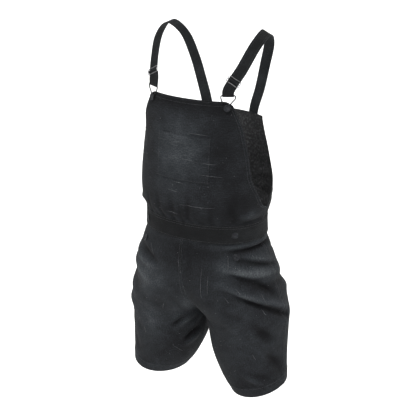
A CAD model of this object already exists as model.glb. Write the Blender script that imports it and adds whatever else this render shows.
import functools
import math

import bpy
import numpy as np
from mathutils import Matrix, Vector


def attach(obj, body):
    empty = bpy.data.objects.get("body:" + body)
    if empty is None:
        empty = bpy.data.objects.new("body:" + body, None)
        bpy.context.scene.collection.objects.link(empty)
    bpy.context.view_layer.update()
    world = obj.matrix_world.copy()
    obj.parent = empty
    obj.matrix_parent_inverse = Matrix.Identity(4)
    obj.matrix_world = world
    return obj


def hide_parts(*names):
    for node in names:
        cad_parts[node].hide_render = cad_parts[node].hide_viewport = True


# Dungaree shorts in washed black denim, standing open as if worn.
# Shapes are worked out in millimetres and turned to metres as each mesh is made.
MM = 0.001
DEGREES = math.pi / 180

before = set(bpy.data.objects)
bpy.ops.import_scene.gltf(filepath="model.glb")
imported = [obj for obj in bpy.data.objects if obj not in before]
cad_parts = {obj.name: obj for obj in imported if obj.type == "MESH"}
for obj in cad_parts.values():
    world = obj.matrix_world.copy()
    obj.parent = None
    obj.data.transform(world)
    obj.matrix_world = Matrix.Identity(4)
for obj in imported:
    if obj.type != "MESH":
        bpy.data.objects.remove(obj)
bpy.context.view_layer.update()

# Cloth, seams and trim
DENIM = 1.5                   # wall of a sewn panel
BAND_CLOTH = 2.2              # the waistband is two layers thick
POCKET_CLOTH = 1.2
SEAM_GAP = 0.3                # between neighbouring pieces
SEAM_LINE = 0.04              # between the shown edges of two panels sewn together
SEAM_SHIFT = 0.15             # a seam's own sideways play, so that no light passes two of them
HEM_HEIGHT = 25
HEM_CLOTH = 1.0
ROLLED_EDGE = 12              # turned edges of the bib and the back panel
POCKET_TURN = 7
POCKET_HEM = 20
EDGE_RISE = 0.3               # how far a turned edge stands proud
GROOVE_DEPTH = 0.45           # and how far its stitches pull the cloth in beside it
BAND_RISE = 0.4               # from the bib's surface to the waistband's
BACK_SINK = 0.3               # from the solid's surface to the shown back panel's
FELLED_SEAM = (0.8, 9)        # the strip beside a seam where its layers lie double
FELLED_RISE = {1: 0.5, -1: 0.2}      # front, back
BAND_EDGE = (0.8, 4)          # the proud strip along the waistband's edges
BAND_GROOVE = (4.4, 5.6)      # and the groove beside it
STRAP_WIDTH = 25
STRAP_CLOTH = 1.8

# Heights, from the top of the straps downwards
BIB_TOP = -120
BIB_CORNER = 9                # how far its top corners drop
CORNER_SHARE = 0.16           # and in what share of half its width
BACK_TOP = -200
BACK_OVERLAP = 32
WAIST_TOP = -403
WAIST_BOTTOM = -446
CROTCH = -653
HEM = -828

# Tilts: rise per millimetre sideways or backwards
WAIST_TILT = -0.06
TILT_FADE_UP = 40             # how far above the waistband the waist's tilt has faded out
TILT_FADE_DOWN = 94           # and how far below it
HEM_OUT = {1: 0.17, -1: 0.1}         # left leg, right leg
HEM_BACK = 0.115
LEG_MIDDLE = (131, -26)
INNER_LEAN = 9                # a leg's inner side is fuller towards the back
LEAN_START = 40               # reached this far below the crotch
FOLD_FADE = 0.25              # the angle in which folds fade out towards the inner seam
PLAY_REACH = 8                # how far from the middle a seam's play is felt

# Metal parts
BUTTON_RADIUS = 7.5
BUTTON_HEIGHT = 2
SHANK_RADIUS = 2
LOOP_WIRE = 1.1
SLIDER_WIRE = 0.9
SLIDER_HEIGHT = 13
STRAP_SLACK = 2
BUTTON_SEAT = 0.6             # from the cloth to the back of a button
WAIST_BUTTON = (48, -425)      # angle from the front, and height
HIP_BUTTON = (42, -475)        # angle from the outer side, and height

# The bib pocket
POCKET_HALF = 61
POCKET_EASE = 0.2
POCKET_TOP = -196
POCKET_BOTTOM = -296


def table(names, rows):
    """Rows of a table with named columns, as one array for each column."""
    return dict(zip(names.split(), np.array(rows, float).T))


def column(rows, key):
    """A smooth function of height through one column of a table that runs downwards."""
    z, value = rows["z"], rows[key]
    step = np.diff(value) / np.diff(z)
    before, after = step[:-1], step[1:]
    same = before * after > 0
    mean = np.divide(2 * before * after, before + after, out=np.zeros_like(before), where=same)
    slope = np.concatenate([[0], np.where(same, mean, 0), [0]])

    def at(height):
        h = np.clip(height, z[-1], z[0])
        i = np.clip(np.searchsorted(-z, -h, side="left") - 1, 0, len(z) - 2)
        span = z[i + 1] - z[i]
        t = (h - z[i]) / span
        between = value[i] * (1 + 2 * t) * (1 - t) ** 2 + value[i + 1] * t * t * (3 - 2 * t)
        return between + span * t * (1 - t) * (slope[i] * (1 - t) - slope[i + 1] * t)

    return at


def columns(rows):
    """Every column of a table as a smooth function of height."""
    return {key: column(rows, key) for key in rows if key != "z"}


def smooth(value, low, high):
    """0 below low and 1 above high, with a smooth step between."""
    t = np.clip((value - low) / (high - low), 0, 1)
    return t * t * (3 - 2 * t)


def lerp(a, b, t):
    """The value a share t of the way from a to b."""
    return a + (b - a) * t


# The body above the hips: half width, and depth in front of and behind its axis
TORSO_AXIS = -46
TORSO = columns(table("z side front back", [
    (-100, 138, 93, 119),
    (-130, 141, 96, 119),
    (-165, 142.5, 105, 119),
    (-204, 138.5, 111, 119),
    (-260, 144, 117, 116),
    (-340, 151, 122, 117),
    (-372, 149, 121, 115),
    (-388, 145, 116, 111),
    (-404, 141, 111, 106),
    (-450, 142.5, 112, 107),
]))
SQUARE_FRONT = 0.03
SQUARE_BACK = 0.04

# The angle from the front, in degrees, at which the bib and the back panel end
ARMHOLE = columns(table("z bib back", [
    (-118, 41.5, 144),
    (-130, 43.5, 144),
    (-160, 50.5, 143),
    (-200, 59, 141),
    (-236, 62.5, 136),
    (-260, 63.5, 131),
    (-290, 64.5, 125.5),
    (-312, 67.5, 119),
    (-332, 72.5, 108),
    (-350, 77, 99.5),
    (-364, 82, 94.5),
    (-374, 90, 90),
    (-404, 90, 90),
]))

# Each side below the waist is a closed loop round one leg. The two loops
# overlap at the waist, where they share one oval, and part at the crotch.
LEG = columns(table("z outer inner axis front back", [
    (-446, 142.5, -142.5, -46, 112, 107),
    (-470, 150, -140, -46, 117, 112),
    (-500, 160, -130, -45, 122, 118),
    (-530, 170, -113, -43, 124, 123),
    (-560, 178, -90, -41, 124, 124),
    (-585, 184, -66, -39, 121, 123),
    (-612, 190, -36, -36, 115, 119),
    (-635, 194, -13, -33, 109, 112),
    (-646, 196, -4, -31, 106, 109),
    (-653, 197, 0, -31, 104, 107),
    (-680, 197, 3, -31, 99, 97),
    (-730, 197, 12, -32, 91, 87),
    (-790, 198, 38, -33, 80, 77),
    (-840, 199, 66, -33, 72, 70),
]))

# Large folds on each surface, with the columns from_angle, from_z, to_angle, to_z, wide and
# rise. Those that rise stand out of the cloth, and those below 0 sink into it.
TORSO_FOLDS = [
    (48, -372, 74, -386, 9, 3.5),
    (-52, -374, -70, -384, 9, 3),
    (118, -376, 150, -381, 9, 3),
    (-112, -378, -140, -374, 9, 2.5),
    (-22, -376, -19, -399, 4, 1.2),
    (-9, -374, -8, -400, 4, 1),
    (17, -376, 18, -400, 4, 1.2),
    (30, -370, 33, -399, 5, 1.5),
]
LEFT_FOLDS = [
    (62, -455, -18, -452, 7, 4),
    (48, -466, -20, -458, 7, -4.5),
    (36, -474, -7, -503, 7, 2),
    (44, -483, -4, -515, 7, -3.5),
    (57, -499, -9, -530, 10, 6),
    (52, -513, 12, -566, 8, -6),
    (66, -537, -4, -619, 11, 8),
    (63, -547, -5, -642, 9, -7),
    (5, -552, -50, -572, 11, -5),
    (50, -647, 33, -685, 14, -6),
    (36, -722, 8, -784, 13, -6),
    (60, -770, 40, -784, 8, -4),
    (80, -766, 54, -795, 8, 4),
    (-40, -476, -84, -512, 10, 4.5),
    (-30, -520, -96, -566, 11, -5.5),
    (-22, -585, -90, -628, 12, 6),
    (-120, -640, -158, -668, 10, -5),
]
RIGHT_FOLDS = [
    (30, -490, 70, -509, 8, -4.5),
    (12, -508, 64, -525, 9, 4),
    (12, -534, 58, -548, 10, 4),
    (5, -562, 56, -590, 16, -6),
    (18, -648, 60, -664, 13, 4),
    (135, -668, 122, -690, 8, -5.5),
    (150, -663, 126, -694, 8, 4.5),
    (162, -705, 142, -730, 8, -6),
    (164, -724, 142, -744, 8, 4.5),
    (40, -735, 62, -775, 14, -3),
    (-34, -470, -80, -520, 10, 4.5),
    (-44, -500, -100, -556, 10, -5.5),
    (-18, -568, -84, -634, 12, 6),
    (-116, -634, -160, -676, 10, -5),
    (-30, -720, -74, -742, 13, -4),
]
# Finer creases, which only the visible cloth has
TORSO_CREASES = [
    (-10, -334, -9, -404, 5.5, -3.4),
    (-2, -356, -1, -404, 4, -2.6),
    (6, -338, 5, -404, 5, -3.2),
    (-25, -340, -22, -404, 5, -2.8),
    (-38, -352, -38, -404, 4.5, -2.2),
    (26, -350, 27, -404, 5, -2.4),
    (42, -344, 48, -392, 6, -3.4),
    (-30, -372, -24, -398, 3, 0.9),
    (4, -366, 3, -398, 3.5, 0.9),
    (44, -374, 50, -397, 4, -1.2),
    (53, -397, 84, -395, 5, -2.6),
    (-50, -392, -78, -391, 4, -1.2),
    (-40, -372, -42, -397, 3.5, 0.9),
    (140, -366, 146, -396, 5, 1.2),
    (172, -372, 170, -398, 4, 1),
    (-160, -368, -164, -398, 4, 1),
    (-134, -374, -130, -396, 5, -1.2),
    (150, -240, 164, -322, 12, 1.8),
    (-150, -238, -170, -300, 11, 1.5),
    (126, -318, 162, -350, 9, -1.8),
    (-128, -330, -166, -344, 9, 1.8),
    (-150, -356, -172, -372, 7, -1.6),
    (112, -350, 132, -366, 7, 1.4),
]
LEFT_CREASES = [
    (46, -466, -14, -458, 4, -4),
    (40, -483, -2, -514, 4, -3.5),
    (50, -514, 30, -532, 4.5, -3.5),
    (30, -533, 11, -572, 5.5, -5),
    (60, -549, 24, -606, 5, -4),
    (22, -608, -6, -644, 7, -4),
    (62, -542, 28, -586, 7, 3),
    (54, -504, 14, -523, 7, 3.5),
    (34, -473, 0, -498, 5, 2.5),
    (50, -648, 32, -684, 9, -2.5),
    (36, -724, 12, -776, 9, -2.5),
    (74, -772, 54, -794, 6, 2),
    (78, -470, 60, -478, 4, -1),
    (30, -500, 2, -516, 4, 1.2),
    (40, -536, 24, -548, 5, 1.5),
    (24, -532, -6, -545, 6, 2),
    (78, -600, 58, -622, 9, -1.2),
    (64, -700, 40, -722, 10, 1.8),
    (22, -640, -10, -668, 10, 2.5),
    (30, -752, 4, -772, 8, 2),
    (88, -640, 70, -672, 9, 1.2),
    (-8, -480, -40, -494, 5, -1.6),
    (-54, -486, -90, -500, 6, -1.4),
    (-60, -600, -110, -610, 7, -2),
    (-70, -680, -130, -700, 10, 1.6),
    (-60, -740, -30, -776, 11, -2.2),
    (-150, -600, -120, -640, 7, 2),
    (-46, -640, -96, -664, 8, 2.2),
    (-70, -566, -112, -580, 6, -1.8),
    (118, -640, 96, -690, 10, 1.2),
]
RIGHT_CREASES = [
    (46, -494, 70, -511, 3.5, -1.8),
    (30, -512, 60, -524, 5, 1.4),
    (135, -669, 124, -687, 4, -2),
    (160, -707, 144, -728, 4, -2),
    (28, -474, 62, -484, 5, 1.4),
    (44, -545, 74, -566, 9, 1.8),
    (72, -610, 104, -626, 12, -1.8),
    (84, -660, 96, -706, 12, 1.5),
    (120, -598, 142, -640, 6, 1.6),
    (112, -604, 134, -648, 5, -1.6),
    (166, -672, 146, -700, 6, 2),
    (128, -730, 108, -768, 9, -1.6),
    (60, -700, 82, -730, 12, -1.4),
    (26, -606, 54, -622, 8, 2),
    (24, -690, 50, -704, 9, -2),
    (-10, -486, -44, -500, 6, -1.8),
    (-64, -488, -96, -500, 6, -1.2),
    (-60, -600, -110, -616, 7, -2),
    (-70, -684, -130, -700, 10, 1.6),
    (-150, -604, -122, -640, 7, 2),
    (-34, -656, -70, -700, 9, 2),
    (-96, -560, -132, -586, 6, -1.8),
    (-40, -764, -84, -782, 9, 1.8),
]
TORSO_PER_DEGREE = 2.3        # millimetres round the surface for each degree
LEG_PER_DEGREE = 1.8
FOLD_ENDS = 0.45              # a fold's height at its ends, as a share of that in its middle


def fold_rise(rows, scale, angle, z):
    """How far a surface's folds move the point at one angle and height."""
    total = np.zeros(np.broadcast(angle, z).shape)
    for from_angle, from_z, to_angle, to_z, wide, rise in rows:
        run_x, run_y = (to_angle - from_angle) * scale, to_z - from_z
        x, y = (angle - from_angle) * scale, z - from_z
        along = np.clip((x * run_x + y * run_y) / (run_x ** 2 + run_y ** 2), 0, 1)
        away = np.hypot(x - along * run_x, y - along * run_y) / wide
        total += rise * lerp(FOLD_ENDS, 1, np.sin(math.pi * along)) * np.exp(-away * away)
    return total


def waist_lean(z):
    """The waist's tilt, which fades out above and below the waistband."""
    above = 1 - smooth(z, WAIST_TOP, WAIST_TOP + TILT_FADE_UP)
    return WAIST_TILT * above * smooth(z, WAIST_BOTTOM - TILT_FADE_DOWN, WAIST_BOTTOM)


def torso_point(angle, z, out=0):
    """Points of the torso, by the angle from the front and the height."""
    front = np.cos(angle) > 0
    swell = 1 + np.where(front, SQUARE_FRONT, SQUARE_BACK) * (1 - np.cos(4 * angle)) / 2
    turned = (angle / DEGREES + 540) % 360 - 180
    lift = out + fold_rise(TORSO_FOLDS + TORSO_CREASES, TORSO_PER_DEGREE, turned, z)
    depth = np.where(front, TORSO["front"](z), TORSO["back"](z))
    x = (TORSO["side"](z) * swell + lift) * np.sin(angle)
    y = TORSO_AXIS - (depth * swell + lift) * np.cos(angle)
    return np.stack([x, y, z + waist_lean(z) * (y - TORSO_AXIS)], -1)


def leg_half(z):
    return (LEG["outer"](z) - LEG["inner"](z)) / 2


def leg_centre(z):
    return (LEG["outer"](z) + LEG["inner"](z)) / 2


def inner_angle(z):
    """Where a leg's loop meets the centre seam, or the inseam below the crotch."""
    return np.arccos(np.clip((SEAM_LINE / 2 - leg_centre(z)) / leg_half(z), -1, 1))


def leg_point(side, angle, z, out=0):
    """Points of one leg, by the angle from the outer side: in front above 0, behind below 0."""
    depth = np.where(np.sin(angle) > 0, LEG["front"](z), LEG["back"](z))
    fade = smooth(inner_angle(z) - np.abs(angle), 0, FOLD_FADE)
    rows = LEFT_FOLDS + LEFT_CREASES if side > 0 else RIGHT_FOLDS + RIGHT_CREASES
    lift = out + fade * fold_rise(rows, LEG_PER_DEGREE, angle / DEGREES, z)
    fuller = INNER_LEAN * smooth(-z, -CROTCH, LEAN_START - CROTCH)
    lean = fuller * np.sin(angle) * (1 - np.cos(angle)) / 2
    x = leg_centre(z) + (leg_half(z) + lift) * np.cos(angle) + lean
    y = LEG["axis"](z) - (depth + lift) * np.sin(angle)
    low = smooth(-z, -CROTCH, -HEM)
    hem_lean = low * (HEM_OUT[side] * (x - LEG_MIDDLE[0]) + HEM_BACK * (y - LEG_MIDDLE[1]))
    play = SEAM_SHIFT * np.sign(np.sin(angle)) * (1 - smooth(x, 0, PLAY_REACH))
    across = side * np.maximum(x, SEAM_LINE / 2) + play
    return np.stack([across, y, z + hem_lean + waist_lean(z) * (y - TORSO_AXIS)], -1)


# Grids of points, and the walls of cloth made from them
CELL = 2.6                    # size of a wall's facets
RIDGE_FADE = 0.15             # how much paler a millimetre of raised cloth wears
SHARP_PANEL = 50 * DEGREES    # edges that bend more than this stay sharp
SHARP_STRAP = 60 * DEGREES
SHARP_METAL = 40 * DEGREES


def unit(vectors):
    return vectors / np.maximum(np.linalg.norm(vectors, axis=-1, keepdims=True), 1e-9)


def grid_normals(points):
    """The outward direction at each point of a grid."""
    return unit(np.cross(np.gradient(points, axis=1), np.gradient(points, axis=0)))


def run_along(points, axis):
    """The distance along each line of a grid, from where it starts."""
    step = np.linalg.norm(np.diff(points, axis=axis), axis=-1)
    pad = [(0, 0), (0, 0)]
    pad[axis] = (1, 0)
    return np.pad(np.cumsum(step, axis=axis), pad)


def distances(points):
    """How far each point of a grid is from each edge, and from the nearer side."""
    left, bottom = run_along(points, 1), run_along(points, 0)
    right, top = left[:, -1:] - left, bottom[-1:] - bottom
    return {"left": left, "right": right, "bottom": bottom, "top": top, "sides": np.minimum(left, right)}


def closed_faces(up, across):
    """The faces of a closed wall: an outer grid, an inner one behind it, and the strips between."""
    index = np.arange((up + 1) * (across + 1)).reshape(up + 1, across + 1)
    a, b, c, d = index[:-1, :-1], index[:-1, 1:], index[1:, 1:], index[1:, :-1]
    outer = np.stack([a, b, c, d], -1).reshape(-1, 4)
    shift = index.size
    rims = [index[0], index[:, -1], index[-1, ::-1], index[::-1, 0]]
    strips = [np.stack([r[1:], r[:-1], r[:-1] + shift, r[1:] + shift], -1) for r in rims]
    return outer, outer[:, ::-1] + shift, np.concatenate(strips)


def new_object(name, points, faces, materials):
    """A mesh piece made from millimetres, which rides on the body."""
    mesh = bpy.data.meshes.new(name)
    mesh.from_pydata((np.asarray(points).reshape(-1, 3) * MM).tolist(), [], [list(f) for f in faces])
    for material in materials:
        mesh.materials.append(material)
    mesh.polygons.foreach_set("use_smooth", np.ones(len(mesh.polygons), bool))
    piece = bpy.data.objects.new(name, mesh)
    bpy.context.scene.collection.objects.link(piece)
    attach(piece, "root")
    return piece


def set_values(mesh, name, values):
    attribute = mesh.attributes.new(name, "FLOAT", "POINT")
    attribute.data.foreach_set("value", np.asarray(values, float).ravel())


def set_uv(mesh, across, up):
    """Distances over the cloth, in millimetres, as its texture coordinates."""
    corner = np.zeros(len(mesh.loops), int)
    mesh.loops.foreach_get("vertex_index", corner)
    uv = np.stack([np.ravel(across)[corner], np.ravel(up)[corner]], -1)
    mesh.uv_layers.new(name="cloth").data.foreach_set("uv", uv.ravel())


def wall(name, slot, point, place, size, thickness, relief, wear, materials):
    """A closed wall of cloth. Place gives the angle and height at two shares, and point the
    surface there. Relief raises the outer skin, and wear says how far the cloth has faded."""
    across, up = (round(length / CELL) for length in size)
    u, v = np.meshgrid(np.linspace(0, 1, across + 1), np.linspace(0, 1, up + 1))
    angle, z = place(u, v)
    points = point(angle, z)
    normals = grid_normals(points)
    edges = distances(points)
    raised = relief(edges, angle / DEGREES, z)
    outer = points + normals * raised[..., None]
    inner = points - normals * thickness
    front, back, rim = closed_faces(up, across)
    piece = new_object(name, [outer, inner], np.concatenate([front, back, rim]), materials)
    mesh = piece.data
    inside = np.repeat([0, 1, 0], [len(front), len(back), len(rim)])
    mesh.polygons.foreach_set("material_index", inside)
    mesh.set_sharp_from_angle(angle=SHARP_PANEL)
    set_values(mesh, "wear", [wear(edges, angle / DEGREES, z) + RIDGE_FADE * raised] * 2)
    middle = edges["left"] - edges["left"][:, [across // 2]]
    set_uv(mesh, [middle] * 2, [z] * 2)
    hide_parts(name.removesuffix("_cloth"))
    return {"outer": outer, "normals": normals, "edges": edges}


def band(distance, start, end, soft=1.0):
    """1 between two distances from an edge and 0 outside, with soft sides."""
    return smooth(distance, start - soft, start + soft) * (1 - smooth(distance, end - soft, end + soft))


def bell(distance, height, middle, wide):
    """A soft ridge, or a groove where its height is below 0."""
    return height * np.exp(-((distance - middle) / wide) ** 2)


def pucker(along, away, reach, pitch, seed):
    """Small uneven waves along a seam, which fade within a reach of it."""
    drift = 1.7 * np.sin(along / (2.3 * pitch) + seed)
    size = 0.6 + 0.4 * np.sin(along / (3.1 * pitch) + 2.1 * seed)
    return size * np.sin(2 * math.pi * along / pitch + drift) * np.exp(-(away / reach) ** 2)


def puckers(edges, rows, turn=1, shift=0):
    """A panel's puckers, from rows of one of the tables of puckers."""
    total = 0
    for along, away, height, reach, pitch, seed in rows:
        total = total + height * pucker(edges[along], edges[away], reach, pitch, seed * turn + shift)
    return total


def patches(rows, angle, z):
    """Soft oval patches of fade or grime: angle, height, their radii and their strength."""
    total = np.zeros(np.broadcast(angle, z).shape)
    for at_angle, at_z, wide, tall, strength in rows:
        total += strength * np.exp(-((angle - at_angle) / wide) ** 2 - ((z - at_z) / tall) ** 2)
    return total


# Camera, lights and floor
PHOTO_SIDE = 27.5             # degrees round from the front
PHOTO_ABOVE = 23
PHOTO_DISTANCE = 2.42
PHOTO_TARGET = Vector((-0.0022, -0.0272, -0.418))
PHOTO_LENS = 90.2
FLOOR_HEIGHT = -3             # far below the garment, so that no shadow shows under it
# The floor is a wide disc that turns up into a low wall: radius, and height above the floor
BACKDROP = [(0.0001, 0), (36, 0), (40, 0.6), (43, 2.4), (44.5, 5), (45, 9), (45, 15)]
FLOOR_SIDES = 96
# Distant soft lights: degrees round from the front and above the horizon, softness and strength
LIGHTS = {
    "key": (8, 62, 22, 3.6),
    "fill": (60, 25, 60, 0.35),
    "back": (190, 50, 60, 1.4),
}
LIGHT_DISTANCE = 3
SKY_STRENGTH = 0.45


def look_from(side, above, distance):
    """A place round the target, by degrees round from the front and above the horizon."""
    flat = math.cos(above * DEGREES)
    turn = side * DEGREES
    around = Vector((math.sin(turn) * flat, -math.cos(turn) * flat, math.sin(above * DEGREES)))
    return PHOTO_TARGET + around * distance


def aimed(thing, place):
    """Puts a camera or lamp at a place, turned to the target."""
    made = bpy.data.objects.new(thing.name, thing)
    made.location = place
    made.rotation_euler = (PHOTO_TARGET - place).to_track_quat("-Z", "Y").to_euler()
    bpy.context.scene.collection.objects.link(made)
    return made


def camera():
    eye = bpy.data.cameras.new("camera")
    eye.lens = PHOTO_LENS
    eye.sensor_width = 36
    eye.clip_end = 50
    bpy.context.scene.camera = aimed(eye, look_from(PHOTO_SIDE, PHOTO_ABOVE, PHOTO_DISTANCE))


def linear(colour):
    """An sRGB hex colour as linear red, green, blue and alpha."""
    parts = [int(colour[i:i + 2], 16) / 255 for i in (1, 3, 5)]
    return [c / 12.92 if c <= 0.04045 else ((c + 0.055) / 1.055) ** 2.4 for c in parts] + [1]


# Materials
# Sizes of the cloth's patterns, across and up, in millimetres
MOTTLE = (34, 30)
GRAIN = (2.2, 3.0)
PEBBLE = (5.5, 5.5)
INSIDE_MOTTLE = (26, 26)
# The real twill is about 0.6 mm from line to line: it is drawn three times as wide,
# so that the diagonal shows at this distance
TWILL_PITCH = 1.9
TWILL_ACROSS = (0.8, -0.6)    # the direction in which its lines follow each other
TWILL_WOBBLE = 5.0
# How much each pattern changes the cloth's tone, and how high it stands
DENIM_TONE = {"worn": 0.4, "mottle": 0.3, "grain": 0.75, "slub": 0.3, "twill": 0.055}
DENIM_HEIGHT = {"grain": 0.9, "twill": 0.12, "slub": 0.5}
GLOSS_SPREAD = 0.12           # how much a metal's roughness varies either way


def new_material(name):
    """A material, its tree and its shader."""
    material = bpy.data.materials.new(name)
    material.use_nodes = True
    return material, material.node_tree, material.node_tree.nodes["Principled BSDF"]


def feed(tree, made, inputs):
    """Gives a node its inputs: each is a value or another node's output."""
    for key, value in dict(inputs).items():
        if isinstance(value, bpy.types.NodeSocket):
            tree.links.new(value, made.inputs[key])
        else:
            made.inputs[key].default_value = value


def node(tree, kind, inputs=(), output=0, stops=(), **settings):
    """One output of a new node. Stops are the places and hex colours of a colour ramp."""
    made = tree.nodes.new(kind)
    for key, value in settings.items():
        setattr(made, key, value)
    feed(tree, made, inputs)
    points = made.color_ramp.elements if stops else []
    while len(points) < len(stops):
        points.new(1)
    for point, (place, colour) in zip(points, stops):
        point.position = place
        point.color = linear(colour)
    return made.outputs[output]


def uneven(tree, cloth, size, detail, roughness):
    """Soft uneven patches over the cloth, of a size across and up in millimetres."""
    inputs = {"Vector": cloth, "Scale": (1 / size[0], 1 / size[1], 1)}
    scaled = node(tree, "ShaderNodeMapping", inputs)
    inputs = {"Vector": scaled, "Scale": 1, "Detail": detail, "Roughness": roughness}
    return node(tree, "ShaderNodeTexNoise", inputs, "Fac")


def speckle(tree, size, detail):
    """Fine specks over a piece, of a size in millimetres, in its own coordinates."""
    place = node(tree, "ShaderNodeTexCoord", output="Object")
    inputs = {"Vector": place, "Scale": 1 / (size * MM), "Detail": detail}
    return node(tree, "ShaderNodeTexNoise", inputs, "Fac")


def layered(tree, base, patterns, strengths):
    """A value with patterns laid over it, each by its strength."""
    total = base
    for name, strength in strengths.items():
        inputs = {0: patterns[name], 1: strength, 2: total}
        total = node(tree, "ShaderNodeMath", inputs, operation="MULTIPLY_ADD")
    return total


def twill_lines(tree, cloth, grain):
    """Fine diagonal lines, from -1 to 1, which the grain makes uneven."""
    turn = 2 * math.pi / TWILL_PITCH
    inputs = {0: cloth, 1: (TWILL_ACROSS[0] * turn, TWILL_ACROSS[1] * turn, 0)}
    phase = node(tree, "ShaderNodeVectorMath", inputs, "Value", operation="DOT_PRODUCT")
    wobbled = layered(tree, phase, {"grain": grain}, {"grain": TWILL_WOBBLE})
    return node(tree, "ShaderNodeMath", {0: wobbled}, operation="SINE")


def denim(name, stops, streak, base):
    """Washed black twill: blue-grey where it has faded, with slubs along the streak."""
    material, tree, shader = new_material(name)
    cloth = node(tree, "ShaderNodeUVMap", uv_map="cloth")
    grain = uneven(tree, cloth, GRAIN, 3, 0.75)
    patterns = {
        "worn": node(tree, "ShaderNodeAttribute", output="Fac", attribute_name="wear"),
        "mottle": uneven(tree, cloth, MOTTLE, 3, 0.6),
        "grain": grain,
        "slub": uneven(tree, cloth, streak, 2, 0.6),
        "twill": twill_lines(tree, cloth, grain),
    }
    # The noises run from 0 to 1, so the base is lowered by their middles
    middle = sum(DENIM_TONE[key] for key in ("mottle", "grain", "slub")) / 2
    tone = layered(tree, base - middle, patterns, DENIM_TONE)
    height = layered(tree, 0, patterns, DENIM_HEIGHT)
    relief = {"Height": height, "Strength": 0.6, "Distance": 0.8 * MM}
    feed(tree, shader, {
        "Base Color": node(tree, "ShaderNodeValToRGB", {"Fac": tone}, "Color", stops),
        "Normal": node(tree, "ShaderNodeBump", relief, "Normal"),
        "Roughness": node(tree, "ShaderNodeMapRange", {"Value": tone, "To Min": 0.95, "To Max": 0.78}),
        "Specular IOR Level": 0.12,
    })
    return material


def wrong_side():
    """The cloth's inside, where the weft shows: plain grey, with the pebbled look of loose loops."""
    material, tree, shader = new_material("unwashed_denim_wrong_side")
    cloth = node(tree, "ShaderNodeUVMap", uv_map="cloth")
    pebble = uneven(tree, cloth, PEBBLE, 2, 0.6)
    patterns = {"mottle": uneven(tree, cloth, INSIDE_MOTTLE, 2, 0.5), "pebble": pebble}
    strengths = {"mottle": 0.4, "pebble": 1}
    tone = layered(tree, -strengths["mottle"] / 2, patterns, strengths)
    stops = [(0.3, "#1c1d1e"), (0.52, "#29292a"), (0.74, "#404142")]
    relief = {"Height": pebble, "Strength": 0.8, "Distance": 1.6 * MM}
    feed(tree, shader, {
        "Base Color": node(tree, "ShaderNodeValToRGB", {"Fac": tone}, "Color", stops),
        "Normal": node(tree, "ShaderNodeBump", relief, "Normal"),
        "Roughness": 0.95,
        "Specular IOR Level": 0.2,
    })
    return material


def yarn(name, dark, pale, roughness):
    """Cotton yarn, whose tone varies a little along it."""
    material, tree, shader = new_material(name)
    stops = [(0.35, dark), (0.65, pale)]
    tone = speckle(tree, 6.25, 2)
    feed(tree, shader, {
        "Base Color": node(tree, "ShaderNodeValToRGB", {"Fac": tone}, "Color", stops),
        "Roughness": roughness,
    })
    return material


def metal(name, stops, roughness, grain):
    """Worn metal: its tone and gloss vary where use and wash have rubbed it."""
    material, tree, shader = new_material(name)
    rub = speckle(tree, grain, 4)
    gloss = {"Value": rub, "To Min": roughness - GLOSS_SPREAD, "To Max": roughness + GLOSS_SPREAD}
    relief = {"Height": rub, "Strength": 0.25, "Distance": 0.15 * MM}
    feed(tree, shader, {
        "Base Color": node(tree, "ShaderNodeValToRGB", {"Fac": rub}, "Color", stops),
        "Normal": node(tree, "ShaderNodeBump", relief, "Normal"),
        "Roughness": node(tree, "ShaderNodeMapRange", gloss),
        "Metallic": 1.0,
    })
    return material


# Tones of the cloth from its darkest to its palest
BLUE_GREY = [(0.0, "#070708"), (0.3, "#111214"), (0.55, "#232629"), (0.8, "#434648"), (1.0, "#6e7071")]
GREY = [(0.0, "#070708"), (0.35, "#111213"), (0.6, "#202224"), (0.85, "#393b3d"), (1.0, "#606264")]


# Panels: each place gives the angle and height at two shares of a panel
def bib_place(u, v):
    corner = np.maximum(0, np.abs(2 * u - 1) + CORNER_SHARE - 1) / CORNER_SHARE
    z = lerp(WAIST_TOP + SEAM_LINE, BIB_TOP - BIB_CORNER * corner ** 2, v)
    edge = ARMHOLE["bib"](z) * DEGREES - SEAM_LINE / (2 * TORSO["side"](z))
    return (2 * u - 1) * edge, z


def back_place(u, v):
    z = lerp(WAIST_TOP + SEAM_LINE, BACK_TOP, v)
    edge = ARMHOLE["back"](z) * DEGREES + SEAM_LINE / (2 * TORSO["side"](z))
    return lerp(edge, 2 * math.pi - edge, u), z


def pocket_place(u, v):
    z = lerp(POCKET_BOTTOM, POCKET_TOP, v)
    return np.arcsin((2 * u - 1) * POCKET_HALF / TORSO["side"](z)), z


def pocket_point(angle, z):
    return torso_point(angle, z, SEAM_GAP + POCKET_CLOTH + POCKET_EASE)


def band_place(start):
    gap = SEAM_LINE / (2 * TORSO["side"](WAIST_TOP))

    def place(u, v):
        return lerp(start + gap, start + math.pi - gap, u), lerp(WAIST_BOTTOM, WAIST_TOP, v)

    return place


def band_point(angle, z):
    return torso_point(angle, z, BAND_RISE)


def leg_place(side, face):
    def place(u, v):
        z = lerp(HEM, WAIST_BOTTOM - SEAM_LINE, v)
        gap = (SEAM_LINE / 2 + side * face * SEAM_SHIFT) / LEG["front"](z)
        inner = np.where(z > CROTCH, inner_angle(z), math.pi)
        share = 1 - u if side * face > 0 else u
        return face * lerp(gap, np.minimum(inner, math.pi - np.abs(gap)), share), z

    return place


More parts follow.
